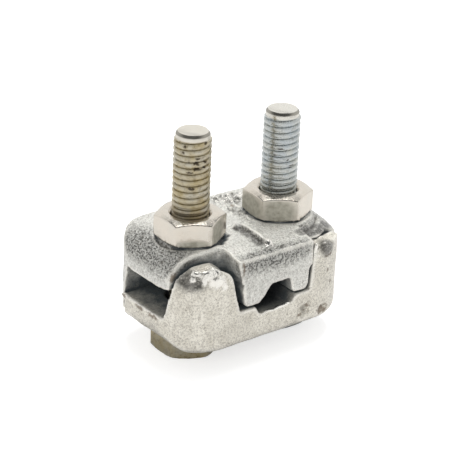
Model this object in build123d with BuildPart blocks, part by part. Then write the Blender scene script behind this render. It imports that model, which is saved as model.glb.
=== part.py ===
from build123d import *
import os
from math import cos, tan, radians

# Wire rope clip of the twin saddle kind. Two copies of one casting face each other, the upper
# one turned over about the line of the bolts. Two hexagon bolts come up from below, each with
# a nut on top, and the rope runs front to back between them.
# Millimetres. X runs along the line of the bolts, -Y is the front, and Z is up. Z = 0 is the
# underside of the bolt heads, on which the clip stands. X = 0 and Y = 0 are the middle of the
# castings.

# bolts and nuts, three-eighths inch coarse hardware
bolt_diameter = 9.45
bolt_standout = 28.0
bolt_end_chamfer = 0.85
thread_groove_width = 0.7
thread_groove_depth = 0.45
thread_groove_above_nut = 0.2
across_flats = 15.875
head_height = 6.3
nut_height = 6.6
corner_cut = 0.62
flat_face_ratio = 0.97
nut_clearance = 0.04
nut_countersink = 0.75
nut_turns = {"left": 30.0, "right": 25.0}
head_turns = {"left": 30.0, "right": 55.0}

# outline of the closed pair of castings, and the bolts in it
bolt_spacing = 28.2
hole_from_end = 13.4
clip_width = 34.5
clip_height = 24.7
bolt_hole_diameter = 10.8
bolt_shift = 0.4
plan_corner = 12.5
edge_round = 1.5
lower_end_rounds = {"left": 6.2, "right": 4.5}
upper_end_rounds = {"left": 8.5, "right": 7.0}

# floor of a casting, and the raised seat that the rope lies on
floor_height = 8.4
seat_height = 9.4
seat_left_from_hole = 2.5
seat_right_from_hole = 1.7
groove_left = -5.3
groove_right = 7.8
groove_floor_left = -3.9
groove_floor_right = 5.6
groove_depth = 2.3
groove_round = 0.8

# tall lug at the front left corner, tapered for drawing from the mould
tall_lug_drop = 1.8
lug_root_width = 9.45
lug_tip_width = 5.95
nose_inner_round = 1.7
nose_outer_round = 4.0
tall_lug_root_from_hole = 3.8
tall_lug_top_from_hole = 0.6
tall_lug_from_end = 0.4
tall_lug_inner_round = 6.5
tall_lug_outer_round = 4.5

# short lug at the front right corner
short_lug_drop = 4.0
short_lug_root_from_hole = 1.8
short_lug_top_from_hole = 0.9
short_lug_outer_round = 5.0
short_lug_inner_round = 1.8
short_lug_top_round = 2.8

# leg that reaches across to press the rope, with its own groove between two feet
leg_face_gap = 0.3
leg_left_root_from_hole = 2.9
leg_left_tip_from_hole = 5.3
leg_right_root_from_hole = 1.5
leg_right_tip_from_hole = 2.7
foot_gap = 0.75
foot_round = 1.5
leg_groove_depth = 4.35
leg_groove_left = -4.2
leg_groove_right = 6.4
leg_step_height = 2.5
leg_step_x = -2.3
leg_roof_left = -0.5
leg_roof_right = 5.6

# pockets that take the lugs of the other casting
lug_clearance = 0.7
pocket_draft = 1.1
pocket_side_from_hole = 3.0
pocket_corner_round = 2.0
lug_top_gap = 0.5

# round shoulder about the right hole, with a valley in it and the lip beyond
shoulder_radius = 9.6
shoulder_angle = 36.0
valley_radius = 11.3
valley_depth = 2.6
valley_rim_radius = 12.2
valley_start_angle = 32.0
valley_end_angle = 84.0
lip_width = 3.85
lip_side_from_hole = 1.3

# slope of the leg's root, and the rib on it
slope_width = 8.25
slope_angle = 11.0
rib_x = -0.6
rib_width = 2.4
rib_length = 12.5
rib_height = 0.5
rib_from_face = 1.3

hole_x = bolt_spacing / 2
half_length = hole_x + hole_from_end
clip_length = 2 * half_length
half_width = clip_width / 2
seat_z = head_height
top_z = seat_z + clip_height
middle_z = seat_z + clip_height / 2
floor_z = seat_z + floor_height
rope_seat_z = seat_z + seat_height
tall_lug_z = top_z - tall_lug_drop
short_lug_z = top_z - short_lug_drop
foot_z = top_z - seat_height - foot_gap
leg_groove_z = foot_z - leg_groove_depth
bolt_end_z = top_z + bolt_standout
nut_top_z = top_z + nut_height
valley_rim_z = seat_z + (valley_rim_radius - shoulder_radius) * tan(radians(shoulder_angle))

# places of the features along X, counted from the holes or the ends
seat_left = -hole_x + seat_left_from_hole
seat_right = hole_x - seat_right_from_hole
tall_lug_root_x = -hole_x + tall_lug_root_from_hole
tall_lug_top_x = -hole_x + tall_lug_top_from_hole
tall_lug_left_x = -half_length + tall_lug_from_end
short_lug_root_x = hole_x - short_lug_root_from_hole
short_lug_top_x = hole_x - short_lug_top_from_hole
leg_left_root = -hole_x + leg_left_root_from_hole
leg_left_tip = -hole_x + leg_left_tip_from_hole
leg_right_root = hole_x - leg_right_root_from_hole
leg_right_tip = hole_x - leg_right_tip_from_hole
pocket_side_x = -hole_x + pocket_side_from_hole
lip_side_x = hole_x - lip_side_from_hole

# places of the features along Y, counted from the outer face
lug_root_y = half_width - lug_root_width
lug_tip_y = half_width - lug_tip_width
lug_draft = (lug_root_width - lug_tip_width) / (tall_lug_z - floor_z)
pocket_wall_inner = lug_root_y + lug_draft * (2 * (middle_z - floor_z)) - lug_clearance
pocket_wall_outer = pocket_wall_inner + pocket_draft
lip_y = half_width - lip_width
slope_start_y = half_width - slope_width

# how far a cutting shape reaches past what it cuts
over = 1.0

os.makedirs("parts", exist_ok=True)


# tall lug: an arch in the front view, a drafted wall with a round nose from the side
with BuildPart() as tall_lug:
    with BuildSketch(Plane.XZ) as arch:
        with BuildLine():
            Polyline(
                (tall_lug_left_x, seat_z),
                (tall_lug_root_x, seat_z),
                (tall_lug_root_x, rope_seat_z),
                (tall_lug_top_x, tall_lug_z),
                (tall_lug_left_x, tall_lug_z),
                close=True,
            )
        make_face()
        fillet(arch.vertices().group_by(Axis.Y)[-1].sort_by(Axis.X)[-1], tall_lug_inner_round)
        fillet(arch.vertices().group_by(Axis.Y)[-1].sort_by(Axis.X)[0], tall_lug_outer_round)
    extrude(amount=half_width)
    with BuildSketch(Plane.YZ.offset(-half_length - over)) as nose:
        with BuildLine():
            Polyline(
                (-half_width, seat_z - over),
                (-lug_root_y, seat_z - over),
                (-lug_root_y, floor_z),
                (-lug_tip_y, tall_lug_z),
                (-half_width, tall_lug_z),
                close=True,
            )
        make_face()
        fillet(nose.vertices().group_by(Axis.Y)[-1].sort_by(Axis.X)[-1], nose_inner_round)
        fillet(nose.vertices().group_by(Axis.Y)[-1].sort_by(Axis.X)[0], nose_outer_round)
    extrude(amount=half_length + over, mode=Mode.INTERSECT)

# short lug: lower, with its top edge rounded
with BuildPart() as short_lug:
    with BuildSketch(Plane.XZ) as stub:
        with BuildLine():
            Polyline(
                (half_length, seat_z),
                (short_lug_root_x, seat_z),
                (short_lug_root_x, rope_seat_z),
                (short_lug_top_x, short_lug_z),
                (half_length, short_lug_z),
                close=True,
            )
        make_face()
        fillet(stub.vertices().group_by(Axis.Y)[-1].sort_by(Axis.X)[-1], short_lug_outer_round)
        fillet(stub.vertices().group_by(Axis.Y)[-1].sort_by(Axis.X)[0], short_lug_inner_round)
    extrude(amount=half_width)
    short_tip_y = lug_root_y + lug_draft * (short_lug_z - floor_z)
    with BuildSketch(Plane.YZ.offset(half_length + over)) as stub_side:
        with BuildLine():
            Polyline(
                (-half_width, seat_z - over),
                (-lug_root_y, seat_z - over),
                (-lug_root_y, floor_z),
                (-short_tip_y, short_lug_z),
                (-half_width, short_lug_z),
                close=True,
            )
        make_face()
        fillet(stub_side.vertices().group_by(Axis.Y)[-1], short_lug_top_round)
    extrude(amount=-half_length - over, mode=Mode.INTERSECT)

# leg at the back with a stepped groove between its feet
with BuildPart() as leg:
    with BuildSketch(Plane.XZ.offset(-leg_face_gap)) as leg_view:
        with BuildLine():
            Polyline(
                (leg_left_root, seat_z),
                (leg_left_tip, foot_z),
                (leg_groove_left, foot_z),
                (leg_step_x, leg_groove_z + leg_step_height),
                (leg_roof_left, leg_groove_z),
                (leg_roof_right, leg_groove_z),
                (leg_groove_right, foot_z),
                (leg_right_tip, foot_z),
                (leg_right_root, seat_z),
                close=True,
            )
        make_face()
        fillet(leg_view.vertices().group_by(Axis.Y)[-1], foot_round)
        fillet(leg_view.vertices().group_by(Axis.Y)[1], groove_round)
    extrude(amount=leg_face_gap - half_width)

# pocket for the tall lug of the other casting, open to the end and to the underside
with BuildPart() as tall_pocket:
    with BuildSketch(Plane.YZ.offset(-half_length - over)):
        with BuildLine():
            Polyline(
                (pocket_wall_inner, floor_z + over),
                (pocket_wall_outer, seat_z - over),
                (half_width + over, seat_z - over),
                (half_width + over, floor_z + over),
                close=True,
            )
        make_face()
    extrude(amount=pocket_side_x + half_length + over)
    fillet(tall_pocket.edges().group_by(Axis.X)[-1].group_by(Axis.Y)[0], pocket_corner_round)

# pocket for the short lug of the other casting, open to the end only
with BuildPart() as short_pocket:
    short_pocket_z = seat_z + short_lug_drop - lug_top_gap
    with BuildSketch(Plane.YZ.offset(lip_side_x)):
        with BuildLine():
            Polyline(
                (pocket_wall_inner, floor_z + over),
                (pocket_wall_outer, short_pocket_z),
                (lip_y, short_pocket_z),
                (lip_y, seat_z - over),
                (half_width + over, seat_z - over),
                (half_width + over, floor_z + over),
                close=True,
            )
        make_face()
    extrude(amount=half_length)

# round shoulder below that pocket: a cone about the corner of the lip, with a curved valley
with BuildPart() as shoulder:
    cone_run = clip_length
    cone_rise = cone_run * tan(radians(shoulder_angle))
    with BuildSketch(Plane.XZ):
        with BuildLine():
            Polyline(
                (lip_side_x + shoulder_radius, seat_z),
                (lip_side_x + shoulder_radius + cone_run, seat_z + cone_rise),
                (lip_side_x + shoulder_radius + cone_run, seat_z - over),
                (lip_side_x + shoulder_radius, seat_z - over),
                close=True,
            )
        make_face()
    revolve(axis=Axis((lip_side_x, 0, 0), (0, 0, 1)), revolution_arc=90)

# valley between the cone's top and the lip
with BuildPart() as valley:
    valley_plane = Plane(
        origin=(lip_side_x, 0, 0),
        x_dir=Vector(1, 0, 0).rotate(Axis.Z, valley_start_angle),
        z_dir=Vector(0, -1, 0).rotate(Axis.Z, valley_start_angle),
    )
    with BuildSketch(valley_plane):
        with BuildLine():
            Polyline(
                (shoulder_radius, seat_z - over),
                (shoulder_radius + nose_inner_round / 2, seat_z),
                (valley_radius, seat_z + valley_depth),
                (valley_rim_radius, valley_rim_z),
                (valley_rim_radius, seat_z - over),
                close=True,
            )
        make_face()
    revolve(axis=Axis((lip_side_x, 0, 0), (0, 0, 1)), revolution_arc=valley_end_angle - valley_start_angle)


def saddle(end_rounds):
    """One casting in the place of the lower one, with the rounds of its two ends."""
    with BuildPart() as outer_form:
        with BuildSketch(Plane.XY.offset(seat_z)):
            RectangleRounded(clip_length, clip_width, plan_corner)
        extrude(amount=clip_height)
        fillet(outer_form.edges().group_by(Axis.Z)[0], edge_round)
        with BuildSketch(Plane.XZ.offset(half_width + over)) as front_outline:
            with Locations((0, middle_z)):
                Rectangle(clip_length, clip_height)
            fillet(front_outline.vertices().group_by(Axis.Y)[0].sort_by(Axis.X)[0], end_rounds["left"])
            fillet(front_outline.vertices().group_by(Axis.Y)[0].sort_by(Axis.X)[-1], end_rounds["right"])
        extrude(amount=-clip_width - 2 * over, mode=Mode.INTERSECT)

    with BuildPart() as casting:
        with BuildSketch(Plane.XY.offset(seat_z)):
            RectangleRounded(clip_length, clip_width, plan_corner)
        extrude(amount=floor_height)
        add(tall_pocket.part, mode=Mode.SUBTRACT)
        add(short_pocket.part, mode=Mode.SUBTRACT)
        add(shoulder.part, mode=Mode.SUBTRACT)
        add(valley.part, mode=Mode.SUBTRACT)
        # raised seat
        with BuildSketch(Plane.XZ.offset(-leg_face_gap)):
            with BuildLine():
                Polyline(
                    (seat_left, seat_z),
                    (seat_left, rope_seat_z),
                    (seat_right, rope_seat_z),
                    (seat_right, seat_z),
                    close=True,
                )
            make_face()
        extrude(amount=half_width + leg_face_gap)
        add(tall_lug.part)
        add(short_lug.part)
        add(leg.part)
        # groove of the seat
        with BuildSketch(Plane.XZ.offset(-leg_face_gap)) as groove:
            with BuildLine():
                Polyline(
                    (groove_left, rope_seat_z + over),
                    (groove_left, rope_seat_z),
                    (groove_floor_left, rope_seat_z - groove_depth),
                    (groove_floor_right, rope_seat_z - groove_depth),
                    (groove_right, rope_seat_z),
                    (groove_right, rope_seat_z + over),
                    close=True,
                )
            make_face()
            fillet(groove.vertices().group_by(Axis.Y)[0], groove_round)
        extrude(amount=half_width + leg_face_gap + over, mode=Mode.SUBTRACT)
        # slope of the leg's root
        slope_rise = (half_width + over - slope_start_y) * tan(radians(slope_angle))
        with BuildSketch(Plane.YZ.offset(-lip_side_x)):
            with BuildLine():
                Polyline(
                    (slope_start_y, seat_z),
                    (half_width + over, seat_z + slope_rise),
                    (half_width + over, seat_z),
                    close=True,
                )
            make_face()
        extrude(amount=2 * lip_side_x, mode=Mode.SUBTRACT)
        add(outer_form.part, mode=Mode.INTERSECT)
        # rib along the slope
        rib_end = half_width - rib_from_face
        with BuildSketch(Plane.XY.offset(seat_z + seat_height / 2)):
            with Locations((rib_x, rib_end - rib_length / 2)):
                SlotOverall(rib_length, rib_width, rotation=90)
        extrude(amount=-seat_height / 2 - rib_height)
        with BuildSketch(Plane.YZ.offset(rib_x - rib_width)):
            with BuildLine():
                Polyline(
                    (slope_start_y - rib_length, seat_z - rib_height),
                    (slope_start_y, seat_z - rib_height),
                    (half_width + over, seat_z - rib_height + slope_rise),
                    (half_width + over, seat_z - rib_height - over),
                    (slope_start_y - rib_length, seat_z - rib_height - over),
                    close=True,
                )
            make_face()
        extrude(amount=2 * rib_width, mode=Mode.SUBTRACT)
        with Locations((-hole_x, 0, 0), (hole_x, 0, 0)):
            Hole(bolt_hole_diameter / 2)
    return casting.part


with BuildPart() as lower_saddle:
    add(saddle(lower_end_rounds))
lower_saddle.part.label = "lower_saddle"
export_step(lower_saddle.part, "parts/lower_saddle.step")

# the same casting turned over about the line of the bolts
with BuildPart() as upper_saddle:
    add(saddle(upper_end_rounds).rotate(Axis((0, 0, middle_z), (1, 0, 0)), 180))
upper_saddle.part.label = "upper_saddle"
export_step(upper_saddle.part, "parts/upper_saddle.step")


def hex_prism(turn, base_z, height, cut_top):
    """Hexagon with its corners cut back by a cone at the bottom, and at the top too if asked."""
    corner_radius = across_flats / 2 / cos(radians(30))
    face_radius = across_flats / 2 * flat_face_ratio
    cut = (corner_radius - face_radius) * corner_cut
    with BuildPart() as prism:
        with BuildSketch(Plane.XY.offset(base_z)):
            RegularPolygon(across_flats / 2, 6, major_radius=False, rotation=turn)
        extrude(amount=height)
        with BuildSketch(Plane.XZ) as turned:
            with BuildLine():
                Polyline(
                    (0, base_z),
                    (face_radius, base_z),
                    (corner_radius, base_z + cut),
                    (corner_radius, base_z + height),
                    (0, base_z + height),
                    close=True,
                )
            make_face()
            if cut_top:
                top_corner = turned.vertices().group_by(Axis.Y)[-1].sort_by(Axis.X)[-1]
                chamfer(top_corner, cut, corner_radius - face_radius)
        revolve(axis=Axis.Z, mode=Mode.INTERSECT)
    return prism.part


for side, bolt_x in (("left", -hole_x + bolt_shift), ("right", hole_x + bolt_shift)):
    with BuildPart() as bolt:
        with Locations((bolt_x, 0, 0)):
            add(hex_prism(head_turns[side], 0, head_height, False))
        with BuildSketch(Plane.XY.offset(head_height)):
            with Locations((bolt_x, 0)):
                Circle(bolt_diameter / 2)
        extrude(amount=bolt_end_z - head_height)
        chamfer(bolt.edges().group_by(Axis.Z)[-1], bolt_end_chamfer)
        # the one groove of the thread that parts the free end from the stretch in the nut
        with BuildSketch(Plane.XY.offset(nut_top_z + thread_groove_above_nut)):
            with Locations((bolt_x, 0)):
                Circle(bolt_diameter / 2)
                Circle(bolt_diameter / 2 - thread_groove_depth, mode=Mode.SUBTRACT)
        extrude(amount=thread_groove_width, mode=Mode.SUBTRACT)
    bolt.part.label = side + "_bolt"
    export_step(bolt.part, "parts/" + side + "_bolt.step")

    with BuildPart() as nut:
        with Locations((bolt_x, 0, 0)):
            add(hex_prism(nut_turns[side], top_z, nut_height, True))
        with Locations((bolt_x, 0, top_z)):
            Hole(bolt_diameter / 2 + nut_clearance)
        bore_edges = nut.edges().filter_by(GeomType.CIRCLE).group_by(SortBy.RADIUS)[0]
        chamfer(bore_edges, nut_countersink)
    nut.part.label = side + "_nut"
    export_step(nut.part, "parts/" + side + "_nut.step")
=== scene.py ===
# %% [markdown]
# # A galvanised wire rope clip
#
# This is the small clamp that holds a stay wire or the end of a rope on overhead line hardware.
# Two rough castings grip the rope from above and below, and two hexagon bolts with nuts squeeze
# them together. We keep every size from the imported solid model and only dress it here: casting
# skin, zinc drips, rolled threads, worn nuts and their finishes.
#
# Everything is in metres, in the frame of the solid model, so a piece goes where the solids say.

# %% Load the fixed frame
import math

import bmesh
import bpy
import mathutils.noise
import numpy as np
from mathutils import Euler, Matrix, Vector
from mathutils.bvhtree import BVHTree


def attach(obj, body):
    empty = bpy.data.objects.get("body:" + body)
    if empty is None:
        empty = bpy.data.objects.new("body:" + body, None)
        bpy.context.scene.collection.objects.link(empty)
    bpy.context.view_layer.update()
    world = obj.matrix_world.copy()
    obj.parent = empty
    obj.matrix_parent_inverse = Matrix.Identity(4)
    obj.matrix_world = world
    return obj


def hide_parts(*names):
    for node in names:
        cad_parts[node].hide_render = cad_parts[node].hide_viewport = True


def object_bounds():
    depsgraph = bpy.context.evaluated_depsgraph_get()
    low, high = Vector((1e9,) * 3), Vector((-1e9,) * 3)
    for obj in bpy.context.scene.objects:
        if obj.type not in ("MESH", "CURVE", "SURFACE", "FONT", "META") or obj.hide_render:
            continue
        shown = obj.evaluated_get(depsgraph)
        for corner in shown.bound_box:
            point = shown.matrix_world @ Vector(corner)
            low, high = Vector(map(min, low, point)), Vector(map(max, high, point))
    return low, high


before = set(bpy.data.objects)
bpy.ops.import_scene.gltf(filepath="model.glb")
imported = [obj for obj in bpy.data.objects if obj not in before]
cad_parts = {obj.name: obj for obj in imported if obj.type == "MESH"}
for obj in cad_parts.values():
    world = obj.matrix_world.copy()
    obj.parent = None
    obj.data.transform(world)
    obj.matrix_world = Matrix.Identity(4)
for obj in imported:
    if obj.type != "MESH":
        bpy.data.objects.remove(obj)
solid_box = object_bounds()
mm = 0.001

# %% [markdown]
# ## The camera
#
# The photograph was taken from the left of the front and a little above, with a long lens, so the
# edges run almost parallel. The angles, the distance and the lens were found by lining up the two
# bolts and the hexagons of the nuts. The picture is turned by under three degrees, which a roll
# of the camera repeats, and a small shift puts the clip at the same place in the frame.

# %% Place the camera
view_azimuth = math.radians(39.2)
view_elevation = math.radians(24.7)
view_roll = math.radians(2.66)
view_distance = 438 * mm
view_lens = 135.2
frame_shift = (-0.0089, -0.018)
bolt_shift = 0.4 * mm
nut_seat_z = 31.0 * mm
aim = Vector((bolt_shift, 0, nut_seat_z))

towards_camera = Vector((
    -math.sin(view_azimuth) * math.cos(view_elevation),
    -math.cos(view_azimuth) * math.cos(view_elevation),
    math.sin(view_elevation),
))
level = Euler((math.pi / 2 - view_elevation, 0, -view_azimuth)).to_matrix()
rolled = level @ Matrix.Rotation(view_roll, 3, "Z")
bpy.ops.object.camera_add(location=aim + towards_camera * view_distance, rotation=rolled.to_euler())
camera = bpy.context.object
camera.name = "photo_camera"
camera.data.lens = view_lens
camera.data.sensor_width = 36
camera.data.shift_x, camera.data.shift_y = frame_shift
camera.data.clip_start = 0.01
bpy.context.scene.camera = camera
print("camera at", [round(c / mm, 1) for c in camera.location])

# %% [markdown]
# ## Helpers for materials
#
# A material in Blender is a tree of nodes. Written out in code, each node takes four or five
# lines, and the idea gets lost in them. So we first make a few short helpers, one for each kind
# of step that comes back often: a sum, a mix of two colours, and a rise from 0 to 1.

# %% Helpers for node trees
def new_tree(name):
    """A material with an empty node tree."""
    material = bpy.data.materials.new(name)
    material.use_nodes = True
    material.node_tree.nodes.clear()
    return material, material.node_tree


def node(tree, kind, inputs=None, **settings):
    """Adds a node, sets its properties, and fills or links its inputs."""
    made = tree.nodes.new("ShaderNode" + kind)
    for key, value in settings.items():
        setattr(made, key, value)
    for key, value in (inputs or {}).items():
        if isinstance(value, bpy.types.NodeSocket):
            tree.links.new(value, made.inputs[key])
        else:
            made.inputs[key].default_value = value
    return made


def maths(tree, operation, a, b=0.0, clamp=False):
    """One Math node; a and b are numbers or sockets."""
    return node(tree, "Math", {0: a, 1: b}, operation=operation, use_clamp=clamp).outputs[0]


def times(tree, a, b):
    """The product of two numbers or sockets."""
    return maths(tree, "MULTIPLY", a, b)


def plus(tree, a, b, clamp=False):
    """The sum of two numbers or sockets, kept between 0 and 1 if asked."""
    return maths(tree, "ADD", a, b, clamp)


def vector_maths(tree, operation, a, b=(0, 0, 0)):
    """One Vector Math node; a and b are vectors or sockets."""
    return node(tree, "VectorMath", {0: a, 1: b}, operation=operation).outputs


def blend_colour(tree, amount, first, second):
    """Mixes two colours, given as colours or sockets, by an amount."""
    return node(tree, "Mix", {0: amount, 6: first, 7: second}, data_type="RGBA").outputs[2]


def ramp(tree, value, low, high):
    """A straight rise from 0 at low to 1 at high."""
    limits = {"Value": value, "From Min": low, "From Max": high}
    return node(tree, "MapRange", limits, clamp=True).outputs[0]


# %% [markdown]
# ## Floor
#
# The clip was photographed on white. A floor that is plain diffuse white would need strong lamps
# to look white, and they would wash out the metal. So the floor adds a little light of its own,
# but only for rays that come from the camera, through glass or off a mirror: the background
# turns white, the metal shows that white, and the soft shadow stays.

# %% Floor and backdrop
floor_grey = 0.55
glow_seen = 0.62
glow_mirrored = 0.06
bpy.ops.object.select_all(action="DESELECT")
bpy.ops.mesh.primitive_plane_add(size=6, location=(0, 0, 0))
floor = bpy.context.object
floor.name = "floor"
paper, tree = new_tree("white_paper")
light_path = node(tree, "LightPath").outputs
seen = maths(tree, "MAXIMUM", light_path["Is Camera Ray"], light_path["Is Transmission Ray"])
seen = times(tree, seen, glow_seen)
mirrored = times(tree, light_path["Is Glossy Ray"], glow_mirrored)
diffuse = node(tree, "BsdfDiffuse", {"Color": (floor_grey, floor_grey, floor_grey, 1)})
glow = node(tree, "Emission", {"Color": (1, 1, 1, 1), "Strength": plus(tree, seen, mirrored)})
both = node(tree, "AddShader", {0: diffuse.outputs[0], 1: glow.outputs[0]})
node(tree, "OutputMaterial", {"Surface": both.outputs[0]})
floor.data.materials.append(paper)
print("floor:", [round(side, 1) for side in floor.dimensions], "m")

# %% [markdown]
# ## What the metal mirrors
#
# Bright zinc has hardly a colour of its own: it shows the room. In the photograph the sides of
# the nuts are pale, slopes that look upwards are dark, and the bevel in front of each nut's
# bore has a bright arc. So the world that the metal mirrors is white paper all round, a dark
# room above, and one soft lamp nearly overhead. Everything else is lit by an even grey, and the
# camera sees plain white.

# %% World
paper_white = (0.94, 0.94, 0.93, 1)
room_dark = (0.05, 0.053, 0.057, 1)
lamp_bright = (3.4, 3.4, 3.33, 1)
even_grey = (0.66, 0.66, 0.66, 1)
world = bpy.data.worlds.new("studio")
bpy.context.scene.world = world
world.use_nodes = True
tree = world.node_tree
tree.nodes.clear()
light_path = node(tree, "LightPath").outputs
direction = node(tree, "TexCoord").outputs["Generated"]


def towards(tree, way, wide, narrow):
    """1 for directions close to a way, 0 for those far from it; two angles in degrees."""
    along = vector_maths(tree, "DOT_PRODUCT", direction, Vector(way).normalized())["Value"]
    return ramp(tree, along, math.cos(math.radians(wide)), math.cos(math.radians(narrow)))


dark_room = towards(tree, (-0.30, -0.20, 0.93), 66, 44)
overhead = towards(tree, (0.14, 0.17, 0.97), 20, 10)
room = blend_colour(tree, dark_room, paper_white, room_dark)
room = blend_colour(tree, overhead, room, lamp_bright)
lit = blend_colour(tree, light_path["Is Glossy Ray"], even_grey, room)
white = maths(tree, "MAXIMUM", light_path["Is Camera Ray"], light_path["Is Transmission Ray"])
shown = blend_colour(tree, white, lit, (1, 1, 1, 1))
background = node(tree, "Background", {"Color": shown, "Strength": 1.0})
node(tree, "OutputWorld", {"Surface": background.outputs[0]})
print("world:", len(tree.nodes), "nodes")

# %% [markdown]
# The rest of the light comes from two square lamps, one above and one in front at the left. They
# are soft, as in a light tent, and they stay out of the reflections, because the world already
# holds everything that the metal should mirror.

# %% Two soft lamps
clip_middle = Vector((0, 0, 0.02))


def softbox(name, place, size, power, colour):
    """A square area lamp that looks at the middle of the clip and isn't mirrored in the metal."""
    spot = Vector(place)
    turn = (spot - clip_middle).to_track_quat("Z", "Y").to_euler()
    bpy.ops.object.light_add(type="AREA", location=spot, rotation=turn)
    lamp = bpy.context.object
    lamp.name = name
    lamp.data.size = size
    lamp.data.energy = power
    lamp.data.color = colour
    lamp.visible_glossy = False
    print(name, "stands", round((spot - clip_middle).length, 2), "m away")


softbox("top_lamp", (0.10, 0.10, 0.58), 0.24, 3.9, (1.0, 0.99, 0.975))
softbox("key_lamp", (-0.42, -0.34, 0.30), 0.26, 1.1, (1.0, 0.985, 0.96))

# %% [markdown]
# ## The casting skin
#
# A sand casting has no sharp edges: the mould rounds them, the grit leaves a rough face, and the
# zinc bath adds runs and lumps. We copy the solid, join its loose triangles, rebuild it as one
# even skin with a voxel remesh, and smooth that skin a little. Drips and knobs are small balls
# set into the surface before the remesh, so they melt into the casting as real zinc does.

# %% Copy a solid
def only(*objects):
    """Selects just these objects; the first one is active."""
    if bpy.context.mode != "OBJECT":
        bpy.ops.object.mode_set(mode="OBJECT")
    bpy.ops.object.select_all(action="DESELECT")
    for each in objects:
        each.select_set(True)
    bpy.context.view_layer.objects.active = objects[0]


def copy_of(node_name, name):
    """A new object with a joined copy of a solid's mesh."""
    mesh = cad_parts[node_name].data.copy()
    mesh.materials.clear()
    copy = bpy.data.objects.new(name, mesh)
    bpy.context.collection.objects.link(copy)
    only(copy)
    bpy.ops.object.mode_set(mode="EDIT")
    bpy.ops.mesh.select_all(action="SELECT")
    bpy.ops.mesh.remove_doubles(threshold=0.002 * mm)
    bpy.ops.object.mode_set(mode="OBJECT")
    print(name, "starts from", len(mesh.polygons), "triangles")
    return copy


# %% Give a piece an even skin
casting_voxel = 0.37 * mm


def finish_modifier(piece, kind, **settings):
    """Adds a modifier, sets it and applies it."""
    only(piece)
    made = piece.modifiers.new(kind.lower(), kind)
    for key, value in settings.items():
        setattr(made, key, value)
    bpy.ops.object.modifier_apply(modifier=made.name)


def lump(place, size, turn=(0, 0, 0)):
    """A ball of zinc, squashed to a size along its own axes; all in millimetres and degrees."""
    bpy.ops.object.select_all(action="DESELECT")
    bpy.ops.mesh.primitive_uv_sphere_add(
        segments=20,
        ring_count=12,
        radius=1,
        location=[c * mm for c in place],
        rotation=[math.radians(a) for a in turn],
    )
    ball = bpy.context.object
    ball.scale = [c * mm for c in size]
    bpy.ops.object.transform_apply(location=True, rotation=True, scale=True)
    return ball


def melt_together(piece, lumps, size):
    """Joins lumps to a piece and remeshes all of it as one skin."""
    only(piece, *lumps)
    if lumps:
        bpy.ops.object.join()
    finish_modifier(piece, "REMESH", mode="VOXEL", voxel_size=size, use_smooth_shade=True)
    return piece


def smooth(piece, rounds=4):
    """Takes the steps of the voxels out of a skin."""
    finish_modifier(piece, "SMOOTH", factor=0.5, iterations=rounds)


def roughen(piece, name, scale, strength):
    """Moves the skin in and out by a soft noise; scale and strength in millimetres."""
    cloud = bpy.data.textures.new(name, "CLOUDS")
    cloud.noise_scale = scale * mm
    finish_modifier(
        piece,
        "DISPLACE",
        texture=cloud,
        texture_coords="LOCAL",
        strength=strength * mm,
        mid_level=0.5,
    )


# %% [markdown]
# Some places need more than a ball: a corner of a lug that wore away, a pit, a step. In sculpt
# mode one would drag them with a brush. The grab brush is easy to write down: every vertex near
# a place moves along, fully in the middle and less and less towards the brush's rim.

# %% Push and pull the skin
def points_of(piece):
    """The places of a piece's vertices in metres, one row each."""
    spots = np.empty(len(piece.data.vertices) * 3)
    piece.data.vertices.foreach_get("co", spots)
    return spots.reshape(-1, 3)


def place_points(piece, spots):
    """Puts a piece's vertices at new places."""
    piece.data.vertices.foreach_set("co", spots.ravel())
    piece.data.update()


def push(piece, place, move, reach):
    """Moves the skin at a place, fading out over a reach, as with a grab brush; millimetres."""
    spots = points_of(piece)
    gap = np.linalg.norm(spots - np.array(Vector(place) * mm), axis=1) / (reach * mm)
    fade = (1 - gap**2).clip(0, 1) ** 2
    place_points(piece, spots + fade[:, None] * np.array(move) * mm)


# %% [markdown]
# ## Lower casting
#
# On the tall lug the zinc ran down and froze as a bright drip with a curl beside it. The short
# lug carries a knob, the edge of the rope groove a line of flash, and the foot of the front a
# shallow pit. The top corners of the tall lug are worn lower than the solid has them.

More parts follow.
